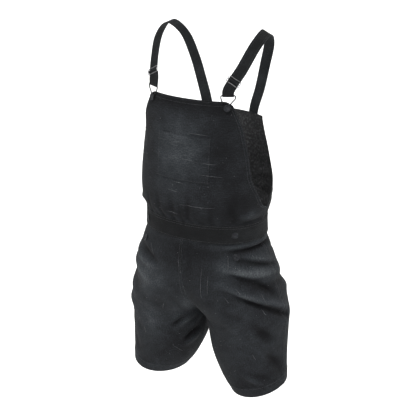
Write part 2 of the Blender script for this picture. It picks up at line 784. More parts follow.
# Puckers: the edge from which they are counted along a seam, the edge or seam that they fade
# away from, and their height, reach and pitch in millimetres, with a seed
BIB_PUCKERS = [("bottom", "sides", 0.22, 14, 11, 1), ("left", "top", 0.16, 14, 10, 2)]
BIB_GATHERS = [("left", "bottom", 0.8, 18, 26, 3)]
BACK_PUCKERS = [("left", "bottom", 0.6, 17, 19, 5), ("bottom", "sides", 0.2, 14, 12, 4)]
POCKET_PUCKERS = [("bottom", "left", 0.12, 12, 10, 6), ("bottom", "right", 0.12, 12, 12, 7)]
BAND_PUCKERS = [("left", "bottom", 0.35, 11, 12, 8), ("left", "top", 0.25, 9, 10, 9)]
LEG_PUCKERS = [("bottom", "seam", 0.4, 13, 14, 1.3), ("bottom", "middle", 0.55, 17, 15, 2.1)]
HEM_PUCKERS = [("left", "hem", 0.35, 9, 13, 3.7)]


def hem_groove(distance, width):
    """A turned edge: slightly proud, with the stitches pulling a groove at its far side."""
    groove = GROOVE_DEPTH * band(distance, width - 1, width + 1, 0.8)
    return EDGE_RISE * band(distance, 1, width - 1.5) - groove


def bib_relief(edges, angle, z):
    rim = np.minimum(edges["top"], edges["sides"])
    gathers = puckers(edges, BIB_GATHERS) * smooth(edges["sides"], 10, 30)
    return hem_groove(rim, ROLLED_EDGE) + puckers(edges, BIB_PUCKERS) + gathers


def back_relief(edges, angle, z):
    rim = np.minimum(edges["top"], edges["sides"])
    return hem_groove(rim, ROLLED_EDGE) - BACK_SINK + puckers(edges, BACK_PUCKERS)


def pocket_relief(edges, angle, z):
    turned = hem_groove(np.minimum(edges["sides"], edges["bottom"]), POCKET_TURN)
    hem = hem_groove(edges["top"], POCKET_HEM)
    return 0.5 * turned + 0.6 * hem + puckers(edges, POCKET_PUCKERS)


def band_relief(edges, angle, z):
    rows = np.minimum(edges["top"], edges["bottom"])
    turned = 0.25 * band(rows, *BAND_EDGE) - 0.3 * band(rows, *BAND_GROOVE, 0.8)
    return turned + puckers(edges, BAND_PUCKERS)


def leg_relief(side, face):
    seam, middle = ("right", "left") if side * face > 0 else ("left", "right")

    def relief(edges, angle, z):
        low = edges["bottom"]
        named = dict(edges, seam=edges[seam], middle=edges[middle], hem=np.abs(low - HEM_HEIGHT))
        height = HEM_CLOTH * (1 - smooth(low, HEM_HEIGHT - 1, HEM_HEIGHT + 2))
        height = height - 0.4 * band(low, HEM_HEIGHT - 3.5, HEM_HEIGHT - 2, 0.8)
        felled = band(named["seam"], *FELLED_SEAM) + band(named["middle"], *FELLED_SEAM)
        height = height + FELLED_RISE[face] * felled
        return height + puckers(named, LEG_PUCKERS, side) + puckers(named, HEM_PUCKERS, side, face)

    return relief


# How much paler the cloth wears for each millimetre that a fold rises, within limits, at its
# very rim, and over the turned edge beside that
RISE_WEAR = 0.08
RISE_LIMITS = (-9, 7)
RIM_WEAR = 0.25
TURNED_WEAR = 0.04
# Where the cloth has faded (above 0) or stayed dark: angle, height, radii and strength
BIB_WEAR = [
    (-4, -228, 30, 76, 0.62),
    (-38, -250, 14, 80, -0.1),
    (34, -230, 14, 80, -0.3),
    (-14, -330, 20, 30, 0.15),
    (0, -124, 70, 22, -0.5),
    (-50, -150, 10, 60, -0.2),
    (0, -376, 60, 24, -0.1),
    (62, -376, 12, 14, 0.38),
    (52, -345, 14, 30, -0.3),
    (44, -376, 7, 24, -0.25),
]
BACK_WEAR = [(180, -300, 30, 60, 0.35), (150, -240, 20, 40, -0.2), (212, -250, 20, 40, -0.2)]
BAND_WEAR = [(74, -425, 28, 24, 0.45), (0, -425, 30, 20, -0.1), (-55, -425, 20, 20, 0.1)]
LEFT_WEAR = [
    (130, -540, 28, 70, -0.15),
    (58, -600, 24, 50, 0.12),
    (78, -690, 22, 60, 0.15),
    (74, -800, 40, 30, -0.25),
    (100, -476, 34, 38, -0.45),
    (30, -700, 26, 60, 0.2),
    (50, -500, 24, 30, 0.35),
    (14, -500, 14, 40, 0.3),
    (-64, -560, 30, 40, 0.12),
    (-96, -700, 22, 40, 0.2),
    (-20, -720, 20, 40, -0.15),
]
RIGHT_WEAR = [
    (130, -520, 28, 50, -0.2),
    (66, -556, 28, 54, 0.52),
    (84, -680, 26, 56, 0.4),
    (126, -650, 20, 60, -0.05),
    (106, -476, 30, 38, -0.45),
    (30, -620, 18, 80, 0.05),
    (130, -630, 18, 60, 0.45),
    (140, -740, 24, 40, -0.2),
    (-80, -660, 24, 40, 0.22),
    (-36, -520, 18, 40, 0.15),
    (-110, -740, 26, 30, -0.15),
]


def cloth_wear(rows, folds, scale, wrap=False, edge_wear=1.0):
    """Fade from a table of patches, paler on ridges and edges, dark in the folds' troughs."""
    def wear(edges, angle, z):
        here = angle % 360 if wrap else angle
        turned = (angle + 540) % 360 - 180
        rise = fold_rise(folds, scale, turned, z)
        rim = np.minimum.reduce(list(edges.values()))
        rubbed = RIM_WEAR * (1 - smooth(rim, 0, 2)) + TURNED_WEAR * band(rim, 2, ROLLED_EDGE, 2)
        return patches(rows, here, z) + RISE_WEAR * np.clip(rise, *RISE_LIMITS) + edge_wear * rubbed

    return wear


def torso_wear(rows, **settings):
    return cloth_wear(rows, TORSO_FOLDS + TORSO_CREASES, TORSO_PER_DEGREE, **settings)


# About how wide and how long each panel is, which sets the number of its facets
PANEL_SIZES = {
    "bib": (310, 283),
    "pocket": (122, 100),
    "back": (330, 203),
    "band": (400, 43),
    "leg": (270, 382),
}


def make_panels(looks):
    """Every wall of cloth, by name."""
    made = {}

    def add(name, slot, *shape):
        made[name] = wall(name + "_cloth", slot, *shape, [looks[slot], looks["inside"]])

    bib = torso_wear(BIB_WEAR, edge_wear=0.3)
    shape = torso_point, bib_place, PANEL_SIZES["bib"], DENIM, bib_relief
    add("bib_front", "bib_denim", *shape, bib)
    pocket = pocket_point, pocket_place, PANEL_SIZES["pocket"], POCKET_CLOTH, pocket_relief
    add("bib_pocket", "pocket_denim", *pocket, torso_wear(BIB_WEAR, edge_wear=0))
    back = torso_wear(BACK_WEAR, wrap=True)
    shape = torso_point, back_place, PANEL_SIZES["back"], DENIM, back_relief
    add("back_panel", "back_denim", *shape, back)
    for name, start in (("waistband_front", -math.pi / 2), ("waistband_back", math.pi / 2)):
        shape = band_point, band_place(start), PANEL_SIZES["band"], BAND_CLOTH, band_relief
        add(name, "band_denim", *shape, torso_wear(BAND_WEAR))
    for side, word in ((1, "left"), (-1, "right")):
        rows = LEFT_WEAR if side > 0 else RIGHT_WEAR
        folds = LEFT_FOLDS + LEFT_CREASES if side > 0 else RIGHT_FOLDS + RIGHT_CREASES
        wear = cloth_wear(rows, folds, LEG_PER_DEGREE)
        for face, half in ((1, "front"), (-1, "back")):
            point = functools.partial(leg_point, side)
            shape = point, leg_place(side, face), PANEL_SIZES["leg"], DENIM, leg_relief(side, face)
            add(f"leg_{half}_{word}", "leg_denim", *shape, wear)
    return made


# Stitching: rows by their distance from an edge
EDGE_ROWS = (3, 10.5)
BAND_ROWS = (2.5, 7.5)
BAND_LOW_ROW = 3
POCKET_ROW = 2
POCKET_HEM_ROW = 18
SEAM_ROWS = (2.5, 8)
HEM_ROW = HEM_HEIGHT - 2.5
EDGE_SPAN = (0.02, 0.985)     # the shares of an edge between which its rows run
BAND_SPAN = (0.005, 0.995)
INSEAM_END = 0.02             # how far below the crotch a row ends, as a share of the leg
CENTRE_START = 0.05           # and how far above it the centre seam's rows begin
STITCH_PITCH = 3.1
STITCH_LENGTH = 2.4
THREAD = 0.75                 # thickness of a stitch
THREAD_LIFT = 0.12            # from the cloth to the middle of the thread


def inset(panel, edge, distance, start=0.0, stop=1.0):
    """A line on a panel at one distance from an edge, between two shares along it."""
    points, away = panel["outer"] + THREAD_LIFT * panel["normals"], panel["edges"][edge]
    if edge in ("bottom", "top"):
        points, away = points.swapaxes(0, 1), away.T
    if edge in ("right", "top"):
        points, away = points[:, ::-1], away[:, ::-1]
    last = len(points) - 1
    rows = range(round(start * last), round(stop * last) + 1)
    return np.array([[np.interp(distance, away[j], points[j, :, k]) for k in range(3)] for j in rows])


def lines_object(name, lines):
    """Open lines as the edges of one mesh."""
    points = np.concatenate(lines) * MM
    mesh = bpy.data.meshes.new(name)
    pairs = []
    start = 0
    for line in lines:
        pairs += [(start + i, start + i + 1) for i in range(len(line) - 1)]
        start += len(line)
    mesh.from_pydata(points.tolist(), pairs, [])
    piece = bpy.data.objects.new(name, mesh)
    bpy.context.scene.collection.objects.link(piece)
    return piece


def stitch_tree():
    """Sews thread along a mesh's edges: one short rounded stitch at each step of a line."""
    tree = bpy.data.node_groups.new("stitches", "GeometryNodeTree")
    sockets = {}
    kinds = [("Geometry", "Geometry"), ("Pitch", "Float"), ("Length", "Float"), ("Thickness", "Float"),
             ("Thread", "Material")]
    for name, kind in kinds:
        socket = tree.interface.new_socket(name, in_out="INPUT", socket_type="NodeSocket" + kind)
        sockets[name] = socket.identifier
    tree.interface.new_socket("Geometry", in_out="OUTPUT", socket_type="NodeSocketGeometry")
    given = tree.nodes.new("NodeGroupInput").outputs
    curve = node(tree, "GeometryNodeMeshToCurve", {"Mesh": given["Geometry"]}, "Curve")
    steps = {"Curve": curve, "Length": given["Pitch"]}
    even = node(tree, "GeometryNodeResampleCurve", steps, "Curve", mode="LENGTH")
    bead = node(tree, "GeometryNodeMeshIcoSphere", {"Radius": 0.5, "Subdivisions": 1}, "Mesh")
    thick = given["Thickness"]
    size = node(tree, "ShaderNodeCombineXYZ", {"X": given["Length"], "Y": thick, "Z": thick})
    tangent = node(tree, "GeometryNodeInputTangent", output="Tangent")
    turn = node(tree, "FunctionNodeAlignRotationToVector", {"Vector": tangent}, "Rotation", axis="X")
    low_and_high = {"Seed": 7, 2: 0.8, 3: 1.1}
    growth = node(tree, "FunctionNodeRandomValue", low_and_high, 1, data_type="FLOAT")
    scale = node(tree, "ShaderNodeVectorMath", {0: size, "Scale": growth}, operation="SCALE")
    beads = {"Points": even, "Instance": bead, "Rotation": turn, "Scale": scale}
    placed = node(tree, "GeometryNodeInstanceOnPoints", beads)
    real = node(tree, "GeometryNodeRealizeInstances", {"Geometry": placed})
    sewn = node(tree, "GeometryNodeSetMaterial", {"Geometry": real, "Material": given["Thread"]})
    feed(tree, tree.nodes.new("NodeGroupOutput"), {"Geometry": sewn})
    return tree, sockets


def sew(tree, sockets, name, lines, material):
    """Rows of stitches along lines in millimetres, as a plain mesh."""
    piece = lines_object(name, lines)
    modifier = piece.modifiers.new("stitches", "NODES")
    modifier.node_group = tree
    sizes = {"Pitch": STITCH_PITCH * MM, "Length": STITCH_LENGTH * MM, "Thickness": THREAD * MM}
    for key, value in dict(sizes, Thread=material).items():
        modifier[sockets[key]] = value
    bpy.context.view_layer.update()
    graph = bpy.context.evaluated_depsgraph_get()
    mesh = bpy.data.meshes.new_from_object(piece.evaluated_get(graph))
    piece.modifiers.clear()
    piece.data = mesh
    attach(piece, "root")


def panel_stitches(panels):
    """The rows of stitches on each part of the garment, by name."""
    bib, back, pocket = panels["bib_front"], panels["back_panel"], panels["bib_pocket"]
    rows = {"stitches_" + name: [] for name in ("bib", "pocket", "band", "hem", "legs", "back")}
    for distance in EDGE_ROWS:
        for edge in ("top", "left", "right"):
            rows["stitches_bib"].append(inset(bib, edge, distance, *EDGE_SPAN))
            rows["stitches_back"].append(inset(back, edge, distance, *EDGE_SPAN))
    rows["stitches_pocket"] += [inset(pocket, edge, POCKET_ROW) for edge in ("left", "right", "bottom")]
    rows["stitches_pocket"].append(inset(pocket, "top", POCKET_HEM_ROW))
    for name in ("waistband_front", "waistband_back"):
        rows["stitches_band"] += [inset(panels[name], "top", d, *BAND_SPAN) for d in BAND_ROWS]
        rows["stitches_band"].append(inset(panels[name], "bottom", BAND_LOW_ROW, *BAND_SPAN))
    above_hem = HEM_HEIGHT / (WAIST_BOTTOM - HEM)
    crotch = (CROTCH - HEM) / (WAIST_BOTTOM - HEM)
    for side, word in ((1, "left"), (-1, "right")):
        for face, half in ((1, "front"), (-1, "back")):
            panel = panels[f"leg_{half}_{word}"]
            seam, middle = ("right", "left") if side * face > 0 else ("left", "right")
            rows["stitches_hem"].append(inset(panel, "bottom", HEM_ROW))
            lines = []
            if face > 0:
                lines += [inset(panel, seam, d, above_hem, 1) for d in SEAM_ROWS]
                lines += [inset(panel, middle, d, above_hem, crotch - INSEAM_END) for d in SEAM_ROWS]
            if face * side < 0:
                lines += [inset(panel, middle, d, crotch + CENTRE_START, 1) for d in SEAM_ROWS]
            rows["stitches_legs"] += lines
    return rows


# Seats for buttons, on a surface of angle and height. The cloth round a seat is sampled
# at steps of angle and height, out to a little more than the button.
SEAT_STEPS = 6
SEAT_TURN = 0.014
SEAT_RISE = 1.4
SEAT_MARGIN = 1.5


def seat(surface, angle, z):
    """A seat's point and frame, and the highest cloth round it."""
    def at(a, h):
        return surface(np.float64(a), np.float64(h))

    point = at(angle, z)
    width = unit(at(angle + 1e-3, z) - at(angle - 1e-3, z))
    out = unit(np.cross(width, at(angle, z + 0.5) - at(angle, z - 0.5)))
    step = np.arange(-SEAT_STEPS, SEAT_STEPS + 1)
    a, h = np.meshgrid(angle + step * SEAT_TURN, z + step * SEAT_RISE)
    away = surface(a, h) - point
    close = np.linalg.norm(away, axis=-1) < BUTTON_RADIUS + SEAT_MARGIN
    high = max(0.0, float((away @ out)[close].max()))
    return {"point": point, "width": width, "out": out, "run": np.cross(out, width), "high": high}


# The bib button, and the wire buckle that hangs on it and holds the strap
BIB_BUTTON = (88, -133)
BUCKLE_HALF = 15
BUCKLE_TALL = 26              # from the button's middle to the bar
BUCKLE_LEAN = 2
BUCKLE_EASE = 0.6             # from the bib to the buckle
BUCKLE_COATING = 0.26         # the blackened skin makes the wire a little thicker
BUCKLE_CORNER = 1.5           # how far its bar's corners are cut
BUCKLE_ARM = 6                # the straight part of its side, below the bar
BUCKLE_TAPER = (0.62, 0.42)   # where its sides turn in, as shares of its half width and height
KEYHOLE = SHANK_RADIUS + SEAM_GAP + LOOP_WIRE + 0.4
BIB_SWELL = 1.02              # how much fuller the torso is at the button than its table says
BIB_ANGLE = math.asin(BIB_BUTTON[0] / (TORSO["side"](BIB_BUTTON[1]) * BIB_SWELL))
BIB_SEAT = seat(torso_point, BIB_ANGLE, BIB_BUTTON[1])
BUCKLE_PLANE = BIB_SEAT["high"] + BUCKLE_EASE + LOOP_WIRE


def on_seat(place, across, up, out):
    """A point by its distances along a seat's frame."""
    return place["point"] + across * place["width"] + up * place["run"] + out * place["out"]


# The left strap's route, from the bib buckle up and over to the back panel. Turn and
# drop set the way its width points, in degrees.
HALF_STRAP = STRAP_CLOTH / 2
FOLD_RADIUS = LOOP_WIRE + SEAM_GAP + HALF_STRAP
STRAP_START = on_seat(BIB_SEAT, BUCKLE_LEAN, BUCKLE_TALL, BUCKLE_PLANE + FOLD_RADIUS)
LEAD_LENGTH = 9               # the strap's straight start above the bar
STRAP_LEAD = STRAP_START + LEAD_LENGTH * BIB_SEAT["run"]
START_TURN = math.atan2(BIB_SEAT["width"][1], BIB_SEAT["width"][0]) / DEGREES
STRAP = table("x y z turn drop", [
    (*STRAP_START, START_TURN, 0),
    (*STRAP_LEAD, START_TURN, 0),
    (105, -89, -57, 27, 6),
    (116, -48, -15, 12, 20),
    (118, 3, 3, 0, 26),
    (105, 46, -30, 0, 14),
    (88.5, 62.5, -84, -4, 6),
    (73.5, 69.5, -143, -8, 2),
    (60, 69, -192, -13, 0),
    (56, 70, BACK_TOP - BACK_OVERLAP, -15, 0),
])
SLIDER_AT = 32                # along the strap from the buckle's bar
SLIDER_PLANE = HALF_STRAP + SEAM_GAP + SLIDER_WIRE
SLIDER_BUMP = SLIDER_PLANE + SLIDER_WIRE + SEAM_GAP + HALF_STRAP
BUMP_WIDE = 3
ROUTE_STEPS = 60              # between two rows of the route's table
STRAP_STEP = 1.8              # between the strap's sections
BEND_STEPS = 16               # sections in its turn round the bar
FOLD_END = 4                  # from the slider to the strap's folded end
STRAP_COLUMNS = 13            # points across the strap
BACK_REACH = 12               # how far above the back panel the strap begins to lie on it
STRAP_RIB = (0.12, 1.6, 1.1)  # its stitched ridge: height, distance from the rim, width
STRAP_GROOVE = (-0.15, 3.6, 0.8)
STRAP_RIM = 0.8               # the folded rim's width, and how much thinner it is
RIM_THIN = 0.35
BAR_TACKS = (3, 16)           # the sections, from the lower end, that are sewn to the back
STRAP_INSIDE = 0.5            # how much paler the strap's inner face is, where it rubs


def spline(points, per_span, closed=False):
    """A smooth line through points, and each of its points' place among them."""
    p = np.asarray(points, float)
    if closed:
        p = np.concatenate([p[-1:], p, p[:2]])
    else:
        p = np.concatenate([[2 * p[0] - p[1]], p, [2 * p[-1] - p[-2]]])
    line, place = [], []
    for i in range(1, len(p) - 2):
        a, b, c = (max(np.linalg.norm(p[i + k] - p[i + k - 1]) ** 0.5, 1e-4) for k in range(3))
        leave = ((p[i] - p[i - 1]) / a - (p[i + 1] - p[i - 1]) / (a + b) + (p[i + 1] - p[i]) / b) * b
        reach = ((p[i + 1] - p[i]) / b - (p[i + 2] - p[i]) / (b + c) + (p[i + 2] - p[i + 1]) / c) * b
        t = (np.arange(per_span) / per_span)[:, None]
        square, cube = 3 * (p[i + 1] - p[i]) - 2 * leave - reach, 2 * (p[i] - p[i + 1]) + leave + reach
        line.append(p[i] + t * leave + t ** 2 * square + t ** 3 * cube)
        place.append(i - 1 + t[:, 0])
    if not closed:
        line.append(p[-2:-1])
        place.append([len(p) - 3])
    return np.concatenate(line), np.concatenate(place)


def evenly(line, count):
    """A closed line again, as a number of evenly spaced points."""
    ring = np.concatenate([line, line[:1]])
    far = np.concatenate([[0], np.cumsum(np.linalg.norm(np.diff(ring, axis=0), axis=1))])
    at = np.linspace(0, far[-1], count, endpoint=False)
    return np.stack([np.interp(at, far, ring[:, k]) for k in range(3)], -1)


ROUTE, ROUTE_PLACE = spline(np.stack([STRAP["x"], STRAP["y"], STRAP["z"]], -1), ROUTE_STEPS)
ROUTE_FAR = np.concatenate([[0], np.cumsum(np.linalg.norm(np.diff(ROUTE, axis=0), axis=1))])
STRAP_LENGTH = ROUTE_FAR[-1]


def strap_frame(distance):
    """The strap's points at distances along it, with its width, run and outwards."""
    def along(line):
        return np.stack([np.interp(distance, ROUTE_FAR, line[:, k]) for k in range(3)], -1)

    place = np.interp(distance, ROUTE_FAR, ROUTE_PLACE)
    stops = np.arange(len(STRAP["x"]))
    turn, drop = (np.interp(place, stops, STRAP[key]) * DEGREES for key in ("turn", "drop"))
    run = unit(along(np.gradient(ROUTE, axis=0)))
    width = np.stack([np.cos(turn) * np.cos(drop), np.sin(turn) * np.cos(drop), -np.sin(drop)], -1)
    width = unit(width - np.sum(width * run, -1, keepdims=True) * run)
    return {"point": along(ROUTE), "width": width, "run": run, "out": np.cross(width, run)}


def strap_centre():
    """The middle of the strap: its folded end, the turn round the buckle's bar, the long run."""
    share = np.linspace(1, 0, 14)
    end = strap_frame(share * (SLIDER_AT - FOLD_END))
    behind = lerp(2 * FOLD_RADIUS, STRAP_CLOTH + SEAM_GAP, share ** 2)
    folded = end["point"] - end["out"] * behind[:, None]
    start = strap_frame(np.zeros(1))
    turn = (math.pi * np.arange(1, BEND_STEPS) / BEND_STEPS)[:, None]
    round_bar = start["out"] * (1 + np.cos(turn)) + start["run"] * np.sin(turn)
    bend = start["point"] - round_bar * FOLD_RADIUS
    distance = np.arange(0, STRAP_LENGTH, STRAP_STEP)
    long = strap_frame(distance)
    rise = bell(distance, SLIDER_BUMP, SLIDER_AT, BUMP_WIDE)
    run = long["point"] + long["out"] * rise[:, None]
    widths = [end["width"], np.repeat(start["width"], len(bend), 0), long["width"]]
    return np.concatenate([folded, bend, run]), np.concatenate(widths)


def back_depth(x, z):
    """Where the back panel's outer skin is, for points at x and z."""
    swell = 1
    for _ in range(4):
        angle = math.pi - np.arcsin(x / (TORSO["side"](z) * swell))
        swell = 1 + SQUARE_BACK * (1 - np.cos(4 * angle)) / 2
    return torso_point(angle, z)[..., 1]


def make_strap(side, word, looks):
    """Makes one strap, and gives the rows of stitches along it."""
    centre, width = strap_centre()
    share = np.linspace(-0.5, 0.5, STRAP_COLUMNS)
    middle = centre[:, None] + width[:, None] * (share * STRAP_WIDTH)[None, :, None]
    rest = back_depth(middle[..., 0], np.minimum(middle[..., 2], BACK_TOP)) + SEAM_GAP + HALF_STRAP + 0.1
    low = middle[..., 2] < BACK_TOP + BACK_REACH
    middle[..., 1] = np.where(low, np.maximum(middle[..., 1], rest), middle[..., 1])
    run = np.gradient(centre, axis=0)
    out = unit(np.cross(width, run))[:, None]
    rim = np.minimum(share + 0.5, 0.5 - share) * STRAP_WIDTH
    stitched = bell(rim, *STRAP_RIB) + bell(rim, *STRAP_GROOVE)
    thick = (HALF_STRAP + np.where(rim < STRAP_RIM, -RIM_THIN, stitched))[None, :, None]
    outer, inner = middle + out * thick, middle - out * thick
    flip = np.array([side, 1, 1])
    faces = np.concatenate(closed_faces(len(centre) - 1, len(share) - 1))
    faces = faces if side > 0 else faces[:, ::-1]
    piece = new_object(f"strap_{word}_cloth", [outer * flip, inner * flip], faces, [looks])
    mesh = piece.data
    mesh.set_sharp_from_angle(angle=SHARP_STRAP)
    along = np.repeat(run_along(centre[:, None], 0), len(share), 1)
    across = np.repeat((share * STRAP_WIDTH)[None], len(centre), 0)
    set_uv(mesh, [across] * 2, [along] * 2)
    rubbed = bell(rim, 0.5, 0, 1.2) + 0.12 * np.sin(along / 31) * np.cos(along / 13)
    set_values(mesh, "wear", [rubbed, rubbed + STRAP_INSIDE])
    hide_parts(f"strap_{word}")
    skin = middle + out * (thick + 0.1)
    first = len(centre) - len(np.arange(0, STRAP_LENGTH, STRAP_STEP)) + 4
    along_rims = [skin[first:-2, k] * flip for k in (2, -3)]
    tacks = [skin[-k, 2:-2] * flip for k in BAR_TACKS]
    return along_rims + tacks


# Metal parts
WIRE_SIDES = 12
BUTTON_SIDES = 40
SLIDER_CORNER = 1.4           # how far its corners are cut
SLIDER_POINTS = 96            # sections round each wire loop
BUCKLE_POINTS = 120
CORNER_STEPS = 24             # between two corners of a loop
ROD_SIDE = [0.3, 0.1, 0.9]    # any direction that no bar follows


def tube_faces(rings, sides, first=0, caps=True):
    """The faces between rings of points, and over the first and the last ring."""
    index = np.arange(rings * sides).reshape(rings, sides) + first
    beside = np.roll(index, -1, 1)
    walls = np.stack([index[:-1], beside[:-1], beside[1:], index[1:]], -1).reshape(-1, 4).tolist()
    return walls + [index[0][::-1].tolist(), index[-1].tolist()] if caps else walls


def wire_ring(path, radius):
    """A round section carried round a closed, nearly flat path."""
    centre = path.mean(0)
    face = unit(np.cross(path[0] - centre, path[len(path) // 4] - centre))
    run = unit(np.roll(path, -1, 0) - np.roll(path, 1, 0))
    out = unit(np.cross(run, face))
    turn = (2 * math.pi * np.arange(WIRE_SIDES) / WIRE_SIDES)[None, :, None]
    points = path[:, None] + (np.cos(turn) * out[:, None] + np.sin(turn) * face) * radius
    index = np.arange(len(path) * WIRE_SIDES).reshape(-1, WIRE_SIDES)
    ahead, beside = np.roll(index, -1, 0), np.roll(index, -1, 1)
    return points.reshape(-1, 3), np.stack([index, ahead, np.roll(ahead, -1, 1), beside], -1).reshape(-1, 4)


def framed_line(point, width, run, corners, count):
    """A smooth closed line through corners given by their width and run from a point."""
    line = [point + w * width + t * run for w, t in corners]
    return evenly(spline(line, CORNER_STEPS, closed=True)[0], count)


def rod(start, end, radius):
    """A straight round bar with flat ends."""
    run = unit(end - start)
    side = unit(np.cross(run, ROD_SIDE))
    turn = (2 * math.pi * np.arange(WIRE_SIDES) / WIRE_SIDES)[:, None]
    ring = (np.cos(turn) * side + np.sin(turn) * np.cross(run, side)) * radius
    return np.concatenate([start + ring, end + ring]), tube_faces(2, WIRE_SIDES)


def metal_piece(name, parts, side, material, slot, *nodes):
    """One piece from meshes of points and faces, mirrored for the right side."""
    points, faces = [], []
    for part_points, part_faces in parts:
        start = sum(len(p) for p in points)
        step = 1 if side > 0 else -1
        faces += [[int(i) + start for i in list(face)[::step]] for face in part_faces]
        points.append(part_points * np.array([side, 1, 1]))
    piece = new_object(name, np.concatenate(points), faces, [material])
    piece.data.set_sharp_from_angle(angle=SHARP_METAL)
    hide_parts(*nodes)


def slider_parts():
    """A wire frame with a bar across its middle, which the strap passes over."""
    strap = strap_frame(np.array([float(SLIDER_AT)]))
    point = (strap["point"] + strap["out"] * SLIDER_PLANE)[0]
    width, run = strap["width"][0], strap["run"][0]
    w, t, r = STRAP_WIDTH / 2 + STRAP_SLACK, SLIDER_HEIGHT / 2, SLIDER_CORNER
    corners = [(w, 0), (w, t - r), (w - r, t), (0, t), (r - w, t), (-w, t - r),
               (-w, 0), (-w, r - t), (r - w, -t), (0, -t), (w - r, -t), (w, r - t)]
    ring = wire_ring(framed_line(point, width, run, corners, SLIDER_POINTS), SLIDER_WIRE)
    return [ring, rod(point - width * w, point + width * w, SLIDER_WIRE)]


def buckle_parts():
    """A bar that holds the strap, narrowing to a keyhole under the bib button."""
    foot = on_seat(BIB_SEAT, 0, 0, BUCKLE_PLANE)
    w, tall, shift, k, cut = BUCKLE_HALF, BUCKLE_TALL, BUCKLE_LEAN, KEYHOLE, BUCKLE_CORNER
    arm, taper_w, taper_t = tall - BUCKLE_ARM, w * BUCKLE_TAPER[0], tall * BUCKLE_TAPER[1]
    corners = [(shift, tall), (shift + w - cut, tall), (shift + w, tall - cut), (shift + w, arm),
               (taper_w, taper_t), (k, k * 0.7), (k * 0.75, -k * 0.7), (0, -k), (-k * 0.75, -k * 0.7),
               (-k, k * 0.7), (-taper_w, taper_t), (shift - w, arm), (shift - w, tall - cut),
               (shift + cut - w, tall)]
    path = framed_line(foot, BIB_SEAT["width"], BIB_SEAT["run"], corners, BUCKLE_POINTS)
    return [wire_ring(path, LOOP_WIRE + BUCKLE_COATING)]


def button_parts(place, clearance):
    """A round button with a rolled rim and a shallow dish, on its shank."""
    back = place["high"] + clearance
    top, edge = back + BUTTON_HEIGHT, BUTTON_RADIUS
    profile = [
        (0, SEAM_GAP), (SHANK_RADIUS, SEAM_GAP), (SHANK_RADIUS, back), (edge - 0.4, back),
        (edge - 0.1, back + 0.3), (edge, back + 0.8), (edge - 0.1, top - 0.5), (edge - 0.5, top - 0.1),
        (edge - 1, top), (edge - 1.6, top - 0.1), (edge - 2.1, top - 0.45), (edge - 3, top - 0.55),
        (2.2, top - 0.4), (1.4, top - 0.15), (0, top - 0.1),
    ]
    turn = 2 * math.pi * np.arange(BUTTON_SIDES) / BUTTON_SIDES
    around = np.cos(turn)[:, None] * place["width"] + np.sin(turn)[:, None] * place["run"]
    rings = [place["point"] + place["out"] * h + around * max(r, 0.02) for r, h in profile]
    return [(np.concatenate(rings), tube_faces(len(rings), BUTTON_SIDES))]


# Slubs: pale yarns that lie on the cloth, from one angle and height to another
TORSO_SLUBS = [(5, -190, 23, -192), (0, -247, 12, -249), (17, -251, 32, -254), (15, -277, 36, -281),
               (-13, -322, -3, -324), (-2, -352, 29, -352), (-14, -378, -4, -380), (-8, -302, 2, -302),
               (176, -300, 190, -303), (196, -250, 210, -247), (150, -350, 160, -349)]
LEFT_SLUBS = [(76, -498, 91, -570), (73, -514, 82, -559), (50, -475, 53, -500), (52, -540, 49, -552),
              (28, -562, 27, -588), (33, -600, 31, -616), (66, -560, 64, -574), (60, -712, 56, -728),
              (-60, -540, -62, -590), (-88, -640, -86, -668), (-40, -700, -41, -722)]
RIGHT_SLUBS = [(90, -487, 100, -530), (106, -550, 118, -588), (123, -741, 144, -764), (54, -476, 62, -498),
               (100, -616, 104, -640), (76, -704, 78, -722), (-70, -520, -71, -566), (-96, -650, -94, -690)]


SLUB_POINTS = 26              # along each slub
SLUB_LIFT = 0.3               # from the panel's surface to the yarn
POCKET_LIFT = 1.9             # and over the pocket
YARN_SIDES = 5
YARN_RADIUS = 0.26            # in the middle of a yarn, and at its ends
YARN_END = 0.05
LINT = 45                     # fibres of lint on each panel
LINT_LENGTH = 1.6
LINT_POINTS = 4
LINT_LIFT = 0.5
LINT_REACH = 110              # about the distance from a panel to its axis
POCKET_ANGLE = math.asin(POCKET_HALF / TORSO["side"](POCKET_TOP))


def slub_lines():
    """The slubs' lines, which sway a little and lie over the pocket where they cross it."""
    lines = []
    for rows, point in ((TORSO_SLUBS, torso_point), (LEFT_SLUBS, functools.partial(leg_point, 1)),
                        (RIGHT_SLUBS, functools.partial(leg_point, -1))):
        for a, z, b, low in rows:
            t = np.linspace(0, 1, SLUB_POINTS)
            angle = (lerp(a, b, t) + 0.12 * np.sin(9 * t + a)) * DEGREES
            height = lerp(z, low, t) + 0.22 * np.sin(7 * t + z)
            on_pocket = (np.abs(angle) < POCKET_ANGLE) & (POCKET_BOTTOM < height) & (height < POCKET_TOP)
            out = np.where(on_pocket & (point is torso_point), POCKET_LIFT, SLUB_LIFT)
            lines.append(point(angle, height, out))
    return lines


def lint_lines():
    """Short pale fibres, scattered over the outside of each panel."""
    chance = np.random.default_rng(11)
    spots = [(torso_point, bib_place), (torso_point, back_place)]
    for side in (1, -1):
        point = functools.partial(leg_point, side)
        spots += [(point, leg_place(side, face)) for face in (1, -1)]
    share = np.linspace(-0.5, 0.5, LINT_POINTS) * LINT_LENGTH
    lines = []
    for point, place in spots:
        for u, v, lean in chance.uniform(0.04, 0.96, (LINT, 3)):
            angle, z = place(u, v)
            across, up = share * math.cos(3 * lean), share * math.sin(3 * lean)
            lines.append(point(angle + across / LINT_REACH, z + up, LINT_LIFT))
    return lines


